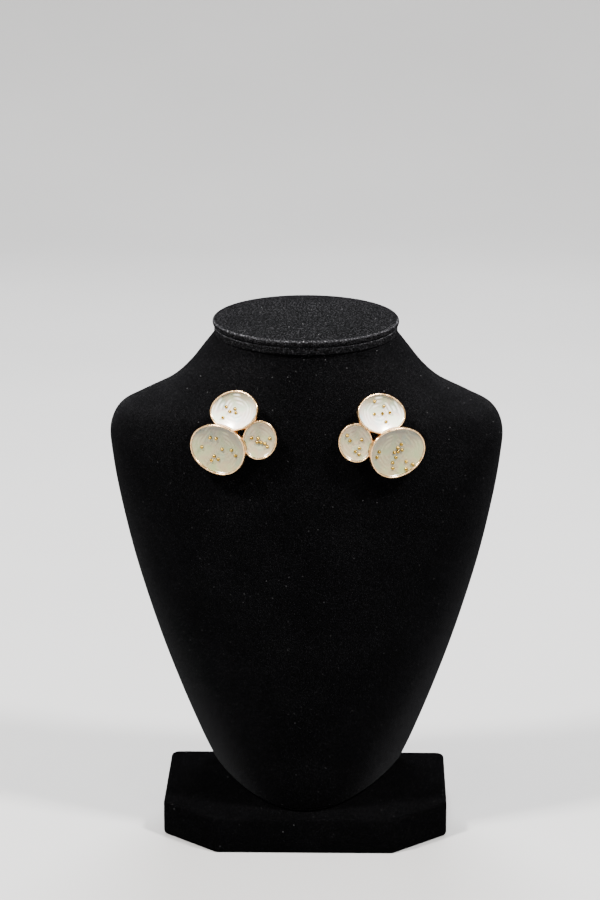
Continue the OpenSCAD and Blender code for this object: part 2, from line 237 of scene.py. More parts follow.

# %% [markdown]
# ## Velvet
# Velvet is a short, dense, upright pile. Seen face on it swallows the light, and along its edges, where the
# line of sight skims the fibre tips, it turns grey. The sheen of the main shader does just this. Five
# things keep it from looking like rubber: the fibre tips make a fine salt-and-pepper grain about a third of
# a millimetre wide, the pile lies a little differently from patch to patch, a few specks of lint cling to
# it, a painted sheen lightens the shoulders' slopes and a little of the upright sides, and a painted
# highlight lightens the surface where it faces partly up, as on the cap's tight rolled edge. The bust, the
# cap and the board share them, so they are made once, as a group with named inputs. The painted sheen and
# the painted highlight are read from the surface's own direction, so they stay put from any side.

# %% Helpers for shader groups
def new_group(name, inputs, outputs):
    """A shader group with float inputs (name, default) and outputs (name, socket kind)."""
    made = bpy.data.node_groups.new(name, "ShaderNodeTree")
    for socket, value in inputs:
        made.interface.new_socket(socket, in_out="INPUT", socket_type="NodeSocketFloat").default_value = value
    for socket, kind in outputs:
        made.interface.new_socket(socket, in_out="OUTPUT", socket_type=kind)
    return made, made.nodes.new("NodeGroupInput").outputs, made.nodes.new("NodeGroupOutput").inputs


def use_group(tree, group, **values):
    """Places a shader group in a material and sets its inputs; an underscore stands for a space."""
    placed = add_node(tree, "ShaderNodeGroup", node_tree=group)
    for key, value in values.items():
        placed.inputs[key.replace("_", " ")].default_value = value
    return placed.outputs

# %% Make the velvet's pile and lint
PILE_SHADES = [(0.3, (0.0003, 0.0003, 0.0003)), (0.48, (0.0008, 0.0008, 0.0009)),
               (0.62, (0.0016, 0.0016, 0.0018)), (0.74, (0.005, 0.005, 0.0054))]
LINT_GREY, LINT_CORE, LINT_EDGE, LINT_BARE = (0.045, 0.045, 0.047), 0.015, 0.08, 0.55
# The last two inputs paint light: a sheen on the slopes, and a highlight where the surface faces partly up.
velvet_grain, given, result = new_group(
    "velvet_grain",
    [("Fibre scale", 3200.0), ("Patch scale", 60.0), ("Patch strength", 0.15), ("Lint scale", 420.0),
     ("Brightness", 1.0), ("Contrast", 1.0), ("Nap", 0.0), ("Open edge", 0.0)],
    [("Colour", "NodeSocketColor"), ("Height", "NodeSocketFloat")])
grain_calc = calculator(velvet_grain)
surface = add_node(velvet_grain, "ShaderNodeTexCoord").outputs


def pile_noise(scale, detail, strength):
    """Noise that swings to both sides of nought, times a strength."""
    swing = grain_calc("SUBTRACT", noise(velvet_grain, surface["Object"], scale, detail), 0.5)
    return grain_calc("MULTIPLY", swing, strength)


tips = pile_noise(given["Fibre scale"], 2.0, given["Contrast"])
patches = pile_noise(given["Patch scale"], 3.0, given["Patch strength"])
mixed = grain_calc("ADD", grain_calc("ADD", tips, patches), 0.5)
pile = ramp(velvet_grain, mixed, PILE_SHADES)
specks = add_node(velvet_grain, "ShaderNodeTexVoronoi", {
    "Vector": surface["Object"], "Scale": given["Lint scale"]}).outputs
near = remap(velvet_grain, specks["Distance"], LINT_CORE, LINT_EDGE, 1.0, 0.0)
chance = add_node(velvet_grain, "ShaderNodeSeparateColor", {0: specks["Color"]}).outputs[0]
lint = grain_calc("MULTIPLY", near, grain_calc("GREATER_THAN", chance, LINT_BARE))
dusty = blend(velvet_grain, lint, pile, LINT_GREY)
print("pile and lint:", len(velvet_grain.nodes), "nodes")

# %% Add the velvet's painted sheen and painted highlight
SIDE_SHARE, FULL_SLOPE, EDGE_FACING, EDGE_SPREAD = 0.35, 0.62, 0.6, 0.35
facing = add_node(velvet_grain, "ShaderNodeSeparateXYZ", {0: surface["Normal"]}).outputs
# Painted sheen: the colour is made lighter where the surface slopes up and to the side.
upwards = grain_calc("ADD", facing["Z"], SIDE_SHARE)
sloping = grain_calc("MULTIPLY", grain_calc("ABSOLUTE", facing["X"]), upwards)
slope_sheen = remap(velvet_grain, sloping, 0.0, FULL_SLOPE, 0.0, given["Nap"])
# Painted highlight: the colour is made lighter where the surface faces partly up, as on the cap's rolled
# edge.
off_edge = grain_calc("ABSOLUTE", grain_calc("SUBTRACT", facing["Z"], EDGE_FACING))
painted_edge_light = remap(velvet_grain, off_edge, 0.0, EDGE_SPREAD, given["Open edge"], 0.0)
gain = grain_calc("ADD", grain_calc("ADD", slope_sheen, painted_edge_light), 1.0)
brightness_and_painted_light = grain_calc("MULTIPLY", gain, given["Brightness"])
# The pile's colour is scaled by its brightness together with the painted sheen and the painted highlight.
pile_and_painted_light = add_node(velvet_grain, "ShaderNodeVectorMath", {0: dusty, "Scale": brightness_and_painted_light}, operation="SCALE")
velvet_grain.links.new(pile_and_painted_light.outputs[0], result["Colour"])
velvet_grain.links.new(mixed, result["Height"])
print("velvet's group:", len(velvet_grain.nodes), "nodes")

# %% Make the velvets
BLACK_PILE, TUFT_DEPTH = (0.02, 0.02, 0.023), 0.0003
SHEEN_ROUGHNESS, SHEEN_TINT = 0.27, (0.9, 0.93, 1.0, 1.0)


def velvet(name, roughness, sheen, tufts=0.55, **values):
    """A black velvet with its own roughness, sheen, strength of its tufts and values for the grain."""
    made, tree, shader = new_material(name, BLACK_PILE, roughness)
    grain = use_group(tree, velvet_grain, **values)
    tree.links.new(grain["Colour"], shader.inputs["Base Color"])
    add_bump(tree, shader, grain["Height"], tufts, TUFT_DEPTH)
    shader.inputs["Specular IOR Level"].default_value = 0.0
    shader.inputs["Sheen Weight"].default_value = sheen
    shader.inputs["Sheen Roughness"].default_value = SHEEN_ROUGHNESS
    shader.inputs["Sheen Tint"].default_value = SHEEN_TINT
    return made


# The bust gets the painted sheen on its slopes.
bust_velvet = velvet("bust_velvet", 0.6, 0.014, Brightness=1.2, Nap=1.4)
# The cap is the bust's velvet painted over three times as light, as painted light from above. It also carries
# the painted highlight on its rolled edge.
cap_velvet_painted_light = velvet("cap_velvet_painted_light", 0.5, 0.018, 0.5, Fibre_scale=2200.0, Patch_strength=0.1, Brightness=4.0,
                    Contrast=1.35, Open_edge=4.3)
board_velvet = velvet("board_velvet", 0.5, 0.011, Patch_scale=45.0, Lint_scale=300.0)
print("velvets:", bust_velvet.name, cap_velvet_painted_light.name, board_velvet.name)

# %% [markdown]
# ## The bust's form
# The bust is moulded, then covered in velvet. Its form follows a rule: each level is one closed outline,
# bowed in front and flatter behind, and the outlines change smoothly from a narrow foot over the shoulders
# to the round neck. A table gives the outlines, as shares of the bust's few named sizes, and a smooth curve
# runs through its rows. Sculpting would give a softer but less exact form, and the posts have to meet this
# surface.

# %% The table of the bust's levels
BASE_T, SEAT_GAP = 12.0, 0.2
SHOULDER_H, NECK_H, SHOULDER_W, FOOT_W = 124.4, 33.4, 130.4, 63.2
CHEST_FRONT, FOOT_FRONT, FOOT_BACK = 38.0, 28.1, 33.0
NECK_W, NECK_D, NECK_FORWARD, NECK_TIP = 60.0, 42.0, 4.6, math.radians(8.4)
SHOULDER_ROW = 7
levels = [  # height, width, front, widest, bow, back; up to the shoulders, then up the neck
    (0, 0, 0, 0.89, 1.9, 0.45), (0.09, 0.146, 0.23, 0.88, 1.75, 0.45),
    (0.237, 0.35, 0.54, 0.86, 1.5, 0.45), (0.41, 0.564, 0.81, 0.845, 1.3, 0.45),
    (0.615, 0.778, 0.96, 0.83, 1.15, 0.45), (0.795, 0.918, 1, 0.8, 1.05, 0.45),
    (0.923, 0.988, 0.94, 0.77, 1, 0.5), (1, 1, 0.83, 0.75, 1, 0.55),
    (0.217, 0.902, 0.76, 0.7, 1, 0.65), (0.36, 0.686, 0.645, 0.64, 1, 0.8),
    (0.506, 0.427, 0.51, 0.585, 1, 0.9), (0.674, 0.25, 0.32, 0.54, 1, 1),
    (0.88, 0.09, 0.09, 0.515, 1, 1), (1, 0, 0, 0.5, 1, 1)]
foot_z = BASE_T + SEAT_GAP
mouth_z = foot_z + SHOULDER_H + NECK_H


def mix(a, b, share):
    """A value between two, by a share."""
    return a + (b - a) * share


def level_sizes(i):
    """Height, half width, front, widest place, back, bow, back power and tip of one level, in mm."""
    height, width, front, widest, bow, back_power = levels[i]
    low = i <= SHOULDER_ROW
    z = foot_z + height * SHOULDER_H if low else foot_z + SHOULDER_H + height * NECK_H
    half = mix(FOOT_W if low else NECK_W, SHOULDER_W, width) / 2
    y_front = -mix(FOOT_FRONT if low else NECK_D / 2 + NECK_FORWARD, CHEST_FRONT, front)
    y_back = mix(FOOT_BACK, NECK_D / 2 - NECK_FORWARD, (z - foot_z) / (mouth_z - foot_z))
    tip = 0.0 if low else height * height * (3 - 2 * height)
    return (z, half, y_front, mix(y_front, y_back, widest), y_back, bow, back_power, tip)


rows = np.array([level_sizes(i) for i in range(len(levels))])
LAST = len(rows) - 1


def sizes_at(s):
    """The level's sizes at any place s along the table, on a smooth curve through its rows."""
    i = min(int(s), LAST - 1)
    a, b, c, d = rows[max(i - 1, 0)], rows[i], rows[i + 1], rows[min(i + 2, LAST)]
    u = s - i
    return (2 * b + (c - a) * u + (2 * a - 5 * b + 4 * c - d) * u * u + (3 * b - 3 * c + d - a) * u ** 3) / 2


def bust_point(s, t):
    """A point of the bust's skin in mm; t is in radians, and three quarters of a turn is the front."""
    z, half, y_front, y_wide, y_back, bow, back_power, tip = sizes_at(s)
    c, n = math.cos(t), math.sin(t)
    if n <= 0:
        x, y = half * c, y_wide - (y_wide - y_front) * (-n) ** bow
    else:
        p = 2 / back_power
        r = (abs(c) ** p + n ** p) ** (-1 / p)
        x, y = half * r * c, y_wide + (y_back - y_wide) * r * n
    return np.array((x, y, z + tip * math.tan(NECK_TIP) * (y + NECK_FORWARD)))


print("mouth of the neck at", round(mouth_z, 1), "mm; shoulders", rows[SHOULDER_ROW][1] * 2, "mm wide")

# %% [markdown]
# The skin is one net of points round and up the bust, closed below and above. It has more than twenty times
# the CAD solid's triangles, so that light runs over it without flats. The edge at the foot is softened by
# pulling in the lowest rings, because cloth wraps round an edge and never makes a sharp one.

# %% Make the bust
AROUND, FIRST_LEVEL, LEVELS_UP = 224, 0.12, 190
FOOT_EDGE = ((1.0, 0.0), (0.3, 0.3), (0.0, 1.0))


def skin(name, rings, material):
    """A closed piece from rings of points in mm, each as long as the next, with a lid at each end."""
    count, around = len(rings), len(rings[0])
    points = [p * MM for ring in rings for p in ring]
    points += [np.mean([p * MM for p in ring], axis=0) for ring in (rings[0], rings[-1])]
    faces = net_faces(count, around)
    low, high, top = count * around, count * around + 1, (count - 1) * around
    for j in range(around):
        k = (j + 1) % around
        faces += [(low, k, j), (high, top + j, top + k)]
    made = add_mesh(name, points, faces)
    made.data.shade_smooth()
    dress(made, material)
    return made


turn = full_turn(AROUND)
foot = np.array([bust_point(0.0, t) for t in turn])
outward = foot - foot.mean(axis=0)
outward /= np.linalg.norm(outward, axis=1)[:, None]
bust_rings = [foot - outward * inset + (0, 0, lift) for inset, lift in FOOT_EDGE]
bust_rings += [np.array([bust_point(s, t) for t in turn]) for s in np.linspace(FIRST_LEVEL, LAST, LEVELS_UP)]
bust = skin("velvet_bust", bust_rings, bust_velvet)
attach(bust, "root")
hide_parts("bust")
print("bust:", len(bust.data.polygons), "faces")

# %% [markdown]
# ## The board
# The base is a thick board with its front corners cut off, wrapped in the same velvet. The CAD solid has
# the right outline, but its edges are sharp. A copy of it gets its doubles merged and a Bevel modifier,
# which rounds only the true edges because it is limited by angle.

# %% Soften the board's edges
BOARD_EDGE_R, SAME_POINT = 1.2, 1e-6
board = bpy.data.objects.new("velvet_board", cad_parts["base"].data.copy())
bpy.context.scene.collection.objects.link(board)
bm = bmesh.new()
bm.from_mesh(board.data)
bmesh.ops.remove_doubles(bm, verts=bm.verts, dist=SAME_POINT)
bmesh.ops.dissolve_limit(bm, angle_limit=math.radians(1), verts=bm.verts, edges=bm.edges)
bm.to_mesh(board.data)
bm.free()
dress(board, board_velvet)
rounding = board.modifiers.new("rounding", "BEVEL")
rounding.width, rounding.segments, rounding.limit_method = BOARD_EDGE_R * MM, 4, "ANGLE"
rounding.angle_limit = math.radians(20)
board.data.shade_smooth()
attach(board, "root")
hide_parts("base")
print("board:", [round(v / MM, 1) for v in board.dimensions])

# %% [markdown]
# ## Wrapping a profile round an outline
# The cap, the cups and their enamel are all of one kind: a profile that goes round a closed outline, as
# clay on a potter's wheel, but the outline isn't a circle. Spin can't do that, and a curve's bevel can't
# follow a dished floor. So the profile is first laid out flat, as a strip with one row for each of its
# points, and a Geometry Nodes tree wraps the strip round. Each row carries where it lies: its share of the
# way from the middle, its inset from the outline, its height, and how far it follows the round underside or
# the dished top.
#
# The outline has four reaches, to the east, north, west and south, which makes the uneven ovals of
# hand-made cups.

# %% Start and finish a Geometry Nodes tree
def new_tree(name, kinds):
    """A Geometry Nodes tree with a mesh in and out and inputs {name: socket kind}, and its inputs."""
    made = bpy.data.node_groups.new(name, "GeometryNodeTree")
    made.interface.new_socket("Geometry", in_out="INPUT", socket_type="NodeSocketGeometry")
    for socket, kind in kinds.items():
        made.interface.new_socket(socket, in_out="INPUT", socket_type=kind)
    made.interface.new_socket("Geometry", in_out="OUTPUT", socket_type="NodeSocketGeometry")
    return made, made.nodes.new("NodeGroupInput").outputs


def finish_tree(tree, geometry, material):
    """The last nodes of a tree: smooth faces, real instances and a material."""
    smooth = add_node(tree, "GeometryNodeSetShadeSmooth", {"Geometry": geometry})
    solid = add_node(tree, "GeometryNodeRealizeInstances", {"Geometry": smooth.outputs[0]})
    finished = add_node(tree, "GeometryNodeSetMaterial", {"Geometry": solid.outputs[0], "Material": material})
    add_node(tree, "NodeGroupOutput", {0: finished.outputs[0]})

# %% Build the wrapping tree
REACHES = ("Reach east", "Reach north", "Reach west", "Reach south")
MERGE_REACH = 2e-6


def build_wrapping():
    """The Geometry Nodes tree that wraps a strip round an outline of four reaches."""
    sizes = (*REACHES, "Power", "Bowl radius", "Bowl bottom", "Dish radius", "Dish bottom")
    kinds = {**dict.fromkeys(sizes, "NodeSocketFloat"), "Material": "NodeSocketMaterial"}
    tree, given = new_tree("wrap_round_outline", kinds)
    calc = calculator(tree)
    flat = tree.nodes.new("GeometryNodeInputPosition").outputs[0]
    angle = calc("MULTIPLY", add_node(tree, "ShaderNodeSeparateXYZ", {0: flat}).outputs[0], 2 * math.pi)
    power = calc("DIVIDE", 2.0, given["Power"])

    def row(name):
        return add_node(tree, "GeometryNodeInputNamedAttribute", {0: name}, data_type="FLOAT").outputs[0]

    def spread(wave, positive, negative):
        """Where a point lies along one direction, by its row's share of the reach."""
        part = calc(wave, angle)
        ahead = calc("GREATER_THAN", part, 0.0)
        reach = add_node(tree, "ShaderNodeMix", {0: ahead, 2: given[negative], 3: given[positive]}).outputs[0]
        reach = calc("MULTIPLY", calc("SUBTRACT", reach, row("inset")), row("share"))
        bulge = calc("POWER", calc("ABSOLUTE", part), power)
        return calc("MULTIPLY", reach, calc("MULTIPLY", calc("SIGN", part), bulge))

    def follow(radius, bottom, part):
        """The height of a sphere's shell over a point, by how far its row follows it."""
        squared = calc("MULTIPLY", given[radius], given[radius])
        drop = calc("SQRT", calc("MAXIMUM", calc("SUBTRACT", squared, away), 0.0))
        level = calc("SUBTRACT", calc("ADD", given[bottom], given[radius]), drop)
        return calc("MULTIPLY", level, row(part))

    east = spread("COSINE", "Reach east", "Reach west")
    north = spread("SINE", "Reach north", "Reach south")
    away = calc("ADD", calc("MULTIPLY", east, east), calc("MULTIPLY", north, north))
    height = calc("ADD", row("height"), follow("Bowl radius", "Bowl bottom", "bowl"))
    height = calc("ADD", height, follow("Dish radius", "Dish bottom", "dish"))
    place = add_node(tree, "ShaderNodeCombineXYZ", {0: east, 1: north, 2: height}).outputs[0]
    wrapped = add_node(tree, "GeometryNodeSetPosition", {"Geometry": given["Geometry"], "Position": place})
    settled = tree.nodes.new("GeometryNodeInputPosition").outputs[0]
    mapped = add_node(tree, "GeometryNodeStoreNamedAttribute", {
        "Geometry": wrapped.outputs[0], "Name": "dish_map", "Value": settled},
        data_type="FLOAT2", domain="CORNER")
    joined = add_node(tree, "GeometryNodeMergeByDistance", {
        "Geometry": mapped.outputs[0], "Distance": MERGE_REACH})
    finish_tree(tree, joined.outputs[0], given["Material"])
    return tree


wrapping = build_wrapping()
print("wrapping tree:", len(wrapping.nodes), "nodes")

# %% [markdown]
# A few helpers use the tree. They lay out the strip with its rows, set the tree's inputs by their
# identifiers, take the result as a plain mesh, move it to its place and turn its faces outwards, since a
# mirrored piece would come out inside out.

# %% Helpers that lay out a strip and wrap it
ROW_PARTS = ("share", "inset", "height", "bowl", "dish")
ROW_STEP = 0.01


def lay_strip(name, strip_rows, around):
    """A flat strip: across it go the profile's rows, along it one full turn."""
    count, step = len(strip_rows), around + 1
    points = [(j / around, i * ROW_STEP, 0.0) for i in range(count) for j in range(step)]
    made = add_mesh(name, points, net_faces(count, step, closed=False))
    for k, part in enumerate(ROW_PARTS):
        values = np.repeat([row[k] for row in strip_rows], step).astype(np.float32)
        made.data.attributes.new(part, "FLOAT", "POINT").data.foreach_set("value", values)
    return made


def apply_modifiers(obj):
    """Swaps an object's mesh for what its modifiers make of it."""
    result = bpy.data.meshes.new_from_object(obj.evaluated_get(bpy.context.evaluated_depsgraph_get()))
    obj.modifiers.clear()
    obj.data = result


def run_tree(obj, group, values):
    """Runs an object's mesh through a tree with these inputs."""
    modifier = obj.modifiers.new(group.name, "NODES")
    modifier.node_group = group
    for item in group.interface.items_tree:
        if item.item_type == "SOCKET" and item.in_out == "INPUT" and item.name in values:
            modifier[item.identifier] = values[item.name]
    apply_modifiers(obj)


def face_outwards(mesh):
    """Turns all faces of a closed mesh outwards."""
    bm = bmesh.new()
    bm.from_mesh(mesh)
    bmesh.ops.recalc_face_normals(bm, faces=bm.faces)
    bm.to_mesh(mesh)
    bm.free()


def wrap(name, strip_rows, sizes, material, place, around=144):
    """Wraps a strip round an outline; sizes are in mm and place is a matrix that works in mm."""
    in_metres = [(row[0], row[1] * MM, row[2] * MM, *row[3:]) for row in strip_rows]
    made = lay_strip(name, in_metres, around)
    values = {key: value * (1.0 if key == "Power" else MM) for key, value in sizes.items()}
    run_tree(made, wrapping, {**values, "Material": material})
    made.data.transform(Matrix.Scale(MM, 4) @ place @ Matrix.Scale(1 / MM, 4))
    face_outwards(made.data)
    return made

# %% [markdown]
# ## The cap
# The neck is closed by an oval lid covered in velvet: a plain band below, a dark groove, and a soft rolled
# edge round a slightly crowned top. It tips forwards with the mouth of the neck. Here the outline is a
# plain oval, so the reaches go in pairs and the bowl and the dish aren't used.

# %% Make the cap
CAP_T, CAP_LIP, CAP_FRONT_LIP, CAP_BAND, CAP_BAND_IN, CAP_CROWN = 5.0, 0.6, 1.1, 2.6, 0.5, 0.5
CAP_FOOT_R, GROOVE_IN, GROOVE_H = 0.4, 0.55, 0.25
roll = (CAP_T - CAP_BAND) / 2


def plain(share, inset, height):
    """A row that follows neither the bowl nor the dish."""
    return (share, inset, height, 0.0, 0.0)


cap_rows = [plain(0.0, 0.0, 0.0), plain(0.6, 0.0, 0.0), plain(1.0, CAP_BAND_IN + 0.6, 0.0)]
cap_rows += [plain(1.0, CAP_BAND_IN + CAP_FOOT_R * (1 - math.sin(a)), CAP_FOOT_R * (1 - math.cos(a)))
             for a in (0.4, 0.9, math.pi / 2)]
cap_rows += [plain(1.0, CAP_BAND_IN, CAP_BAND * 0.6), plain(1.0, CAP_BAND_IN + 0.1, CAP_BAND - GROOVE_H),
             plain(1.0, CAP_BAND_IN + GROOVE_IN, CAP_BAND)]
cap_rows += [plain(1.0, roll * (1 - math.cos(a)), CAP_BAND + roll * (1 + math.sin(a)))
             for a in np.radians(np.linspace(-62, 80, 15))]
cap_rows += [plain(1.0, roll * k, CAP_T + CAP_CROWN * h)
             for k, h in ((1.3, 0.02), (2.0, 0.12), (3.2, 0.35), (5.0, 0.6), (8.0, 0.85), (12.0, 0.97))]
cap_rows += [plain(0.2, 12.0 * roll, CAP_T + CAP_CROWN), plain(0.0, 0.0, CAP_T + CAP_CROWN)]
half_w, half_d = NECK_W / 2 + CAP_LIP, NECK_D / 2 + CAP_LIP + CAP_FRONT_LIP
cap_sizes = {**dict(zip(REACHES, (half_w, half_d, half_w, half_d))), "Power": 2.0}
cap_place = Matrix.Translation((0, -NECK_FORWARD, mouth_z + SEAT_GAP)) @ Matrix.Rotation(NECK_TIP, 4, "X")
cap = wrap("velvet_cap", cap_rows, cap_sizes, cap_velvet_painted_light, cap_place, around=240)
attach(cap, "root")
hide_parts("neck_cap")
print("cap:", len(cap.data.polygons), "faces")

# %% [markdown]
# ## Where the earrings sit
# Each earring's post goes straight into the velvet, so the earring faces the way the bust's skin faces
# there. The place is found on the same smooth surface as the bust: first the level, then the angle, then
# the direction away from the skin. The right earring is the left one's mirror image.

# %% Find the two places
LEFT_X, LEFT_H, RIGHT_X, RIGHT_H = 24.9, 2.4, 27.1, 1.6
HALVINGS, NUDGE = 40, 1e-3


def ear_frame(side, x, height):
    """A matrix in mm from an earring's own plane, Z away from the velvet, to the bust."""
    low, high = 0.0, float(LAST)
    for _ in range(HALVINGS):
        s = (low + high) / 2
        low, high = (s, high) if sizes_at(s)[0] < foot_z + SHOULDER_H + height else (low, s)
    t = 1.5 * math.pi + math.asin(side * x / sizes_at(s)[1])
    up_bust = bust_point(s + NUDGE, t) - bust_point(s - NUDGE, t)
    round_bust = bust_point(s, t + NUDGE) - bust_point(s, t - NUDGE)
    away = Vector(np.cross(round_bust, up_bust)).normalized()
    east = Vector((-away.y, away.x, 0)).normalized()
    axes = Matrix((east, away.cross(east), away)).transposed().to_4x4()
    return Matrix.Translation(Vector(bust_point(s, t))) @ axes @ Matrix.Scale(-side, 4, (1, 0, 0))


ears = {"left": ear_frame(-1, LEFT_X, LEFT_H), "right": ear_frame(1, RIGHT_X, RIGHT_H)}
for side, place in ears.items():
    print(side, "post at", [round(v, 1) for v in place.translation])

# %% [markdown]
# ## Plated metal
# The cups are plated in a pale rose gold, polished but handled: the roughness drifts a little, and a fine
# bump breaks the highlights on the rims. The balls are a deeper yellow. Both share one group for the drift
# and the bump.

# %% Make the metals
SOFT_BUMP = 0.3
handled_metal, given, result = new_group(
    "handled_metal", [("Drift scale", 900.0), ("Least roughness", 0.14), ("Most roughness", 0.34)],
    [("Roughness", "NodeSocketFloat"), ("Height", "NodeSocketFloat")])
where = add_node(handled_metal, "ShaderNodeTexCoord").outputs["Object"]
drift = noise(handled_metal, where, given["Drift scale"], 3.0)
handling = remap(handled_metal, drift, 0.3, 0.7, given["Least roughness"], given["Most roughness"])
handled_metal.links.new(handling, result["Roughness"])
handled_metal.links.new(drift, result["Height"])


def plated(name, light, dark, bump_height, **values):
    """A plated metal whose colour drifts between two tones."""
    made, tree, shader = new_material(name, light, 0.25)
    handled = use_group(tree, handled_metal, **values)
    tone = ramp(tree, handled["Height"], [(0.35, dark), (0.65, light)])
    tree.links.new(tone, shader.inputs["Base Color"])
    tree.links.new(handled["Roughness"], shader.inputs["Roughness"])
    add_bump(tree, shader, handled["Height"], SOFT_BUMP, bump_height)
    shader.inputs["Metallic"].default_value = 1.0
    return made


rose_gold = plated("rose_gold_plate", (0.89, 0.61, 0.33), (0.72, 0.44, 0.2), 0.00004)
yellow_gold = plated("yellow_gold_plate", (0.43, 0.28, 0.055), (0.24, 0.14, 0.016), 0.00003,
                     Drift_scale=1500.0)
print("metals:", rose_gold.name, yellow_gold.name)

# %% [markdown]
# ## Enamel
# The cups are filled with a pearly enamel that was wiped round while it was soft. So it has faint arcs
# round the cup's own middle, a little off centre, here stronger and there gone. The pearl pigment gives
# soft tints of green, rose and blue that change across a few millimetres. Each dish also has painted shade
# and light: its colour is darker towards the top, as painted shade of the rim, and lighter and whiter towards
# the bottom, as painted light. All three effects follow each dish's own plane, which the wrapping tree kept
# in a map named dish_map. They are one group, and each of the three dishes has its own colours.

# %% Make the enamel's arcs, tint and painted shade
WAVER_SCALE, GAP_SCALE, SHADE_EDGE_SCALE, TINT_SCALE = 230.0, 310.0, 160.0, 190.0
SHADE_EDGE_WANDER = 0.006
brushed_pearl, given, result = new_group(
    "brushed_pearl",
    [("Arcs per metre", 820.0), ("Waver", 1.6), ("Thin above", 0.007), ("Thick below", -0.004)],
    [("Arcs", "NodeSocketFloat"), ("Tint", "NodeSocketFloat"), ("Thickness", "NodeSocketFloat")])
pearl_calc = calculator(brushed_pearl)
dish_map = add_node(brushed_pearl, "ShaderNodeUVMap", uv_map="dish_map").outputs[0]
distance = add_node(brushed_pearl, "ShaderNodeVectorMath", {0: dish_map}, operation="LENGTH").outputs["Value"]


def cloud(scale, detail):
    """A soft noise over the dish's plane."""
    return noise(brushed_pearl, dish_map, scale, detail)


waver = pearl_calc("MULTIPLY", cloud(WAVER_SCALE, 2.0), given["Waver"])
turns = pearl_calc("ADD", pearl_calc("MULTIPLY", distance, given["Arcs per metre"]), waver)
wave = pearl_calc("SINE", pearl_calc("MULTIPLY", turns, 2 * math.pi))
strong = remap(brushed_pearl, cloud(GAP_SCALE, 0.0), 0.42, 0.62)
arcs = pearl_calc("MULTIPLY", pearl_calc("MULTIPLY_ADD", wave, 0.5, 0.5), strong)
north = add_node(brushed_pearl, "ShaderNodeSeparateXYZ", {0: dish_map}).outputs[1]
# Painted shade and light: from the shaded colour near the dish's top to the lit colour near its bottom, along
# a wavering border.
wandering = pearl_calc("MULTIPLY_ADD", cloud(SHADE_EDGE_SCALE, 1.0), SHADE_EDGE_WANDER, -SHADE_EDGE_WANDER / 2)
painted_light_share = remap(brushed_pearl, pearl_calc("ADD", north, wandering), given["Thin above"],
                  given["Thick below"], interpolation_type="SMOOTHSTEP")
brushed_pearl.links.new(arcs, result["Arcs"])
brushed_pearl.links.new(cloud(TINT_SCALE, 1.0), result["Tint"])
brushed_pearl.links.new(painted_light_share, result["Thickness"])
print("pearl's group:", len(brushed_pearl.nodes), "nodes")

# %% Make the enamels
PEARL_TINTS = [(0.33, (0.81, 1.0, 0.9)), (0.46, (1.0, 1.0, 1.0)), (0.54, (1.0, 0.85, 0.91)),
               (0.67, (0.8, 0.95, 1.1))]
PALER, ARC_SHARE, ARC_DEPTH = 1.12, 0.55, 0.0001
LEAST_ROUGH, ARC_ROUGH = 0.22, 0.12


def enamel(name, shaded_colour, lit_colour, **values):
    """A pearly enamel: its colours in painted shade above and painted light below, three faint tints and the
    wiped arcs.
    """
    made, tree, shader = new_material(name, lit_colour, 0.3)
    calc = calculator(tree)
    pearl = use_group(tree, brushed_pearl, **values)
    # The body colour runs from painted shade above to painted light below.
    body = blend(tree, pearl["Thickness"], shaded_colour, lit_colour)
    tinted = blend(tree, 1.0, body, ramp(tree, pearl["Tint"], PEARL_TINTS), "MULTIPLY")
    paler = tuple(min(1.0, c * PALER) for c in lit_colour)
    wiped = blend(tree, calc("MULTIPLY", pearl["Arcs"], ARC_SHARE), tinted, paler)
    tree.links.new(wiped, shader.inputs["Base Color"])
    roughness = calc("MULTIPLY_ADD", pearl["Arcs"], ARC_ROUGH, LEAST_ROUGH)
    tree.links.new(roughness, shader.inputs["Roughness"])
    add_bump(tree, shader, pearl["Arcs"], SOFT_BUMP, ARC_DEPTH)
    shader.inputs["Coat Weight"].default_value = 1.0
    shader.inputs["Coat Roughness"].default_value = 0.2
    return made


# Each enamel's first colour is its painted shade near the top of the dish, and the second is its painted
# light near the bottom.
enamels = {
    "large": enamel("enamel_grey_cream", (0.105, 0.097, 0.05), (0.235, 0.22, 0.11)),
    "upper": enamel("enamel_white", (0.185, 0.177, 0.085), (0.95, 0.945, 0.81), Thin_above=0.006,
                    Thick_below=-0.005),
    "small": enamel("enamel_cream", (0.22, 0.17, 0.085), (0.28, 0.255, 0.145), Thin_above=0.006)}
print("enamels:", [m.name for m in enamels.values()])

# %% [markdown]
# ## The cups
# Each cup is pressed from sheet: a rounded underside, a wall, a rolled rim half a millimetre wide and a
# floor for the enamel. Its profile is one strip of rows: out along the underside, up the wall, over the
# rim, down inside and back to the middle. Where cups meet, the large one lies in front of the upper one and
# both lie in front of the small one. The solder and the round seat for the post join them behind.

# %% The three cups' sizes
LARGE_L = 19.0
Cup = namedtuple("Cup", "middle reaches turn power lift lean lean_to")
CUPS = {  # from front to back; lengths are shares of the large cup's length, angles are in degrees
    "large": Cup((-0.02, -0.07), (0.449, 0.408, 0.551, 0.432), -14.7, 2.08, 0.063, 9, 235),
    "upper": Cup((0.187, 0.605), (0.428, 0.35, 0.447, 0.347), 3.3, 1.9, 0.026, 16, 120),
    "small": Cup((0.636, 0.133), (0.304, 0.331, 0.274, 0.333), -5.4, 2.0, 0.0, 13, 350)}
RIM_H, CUP_DEPTH, CUP_RISE, RIM_W, CUP_FLOOR = 5.2, 3.4, 1.8, 0.5, 0.6
ENAMEL_GAP, ENAMEL_SINK, DISH_DEPTH = 0.05, 0.35, 1.3
order = tuple(CUPS)


def sphere_radius(reach, depth):
    """Radius of the sphere that has this depth under a circle of that reach."""
    return (reach * reach + depth * depth) / (2 * depth)


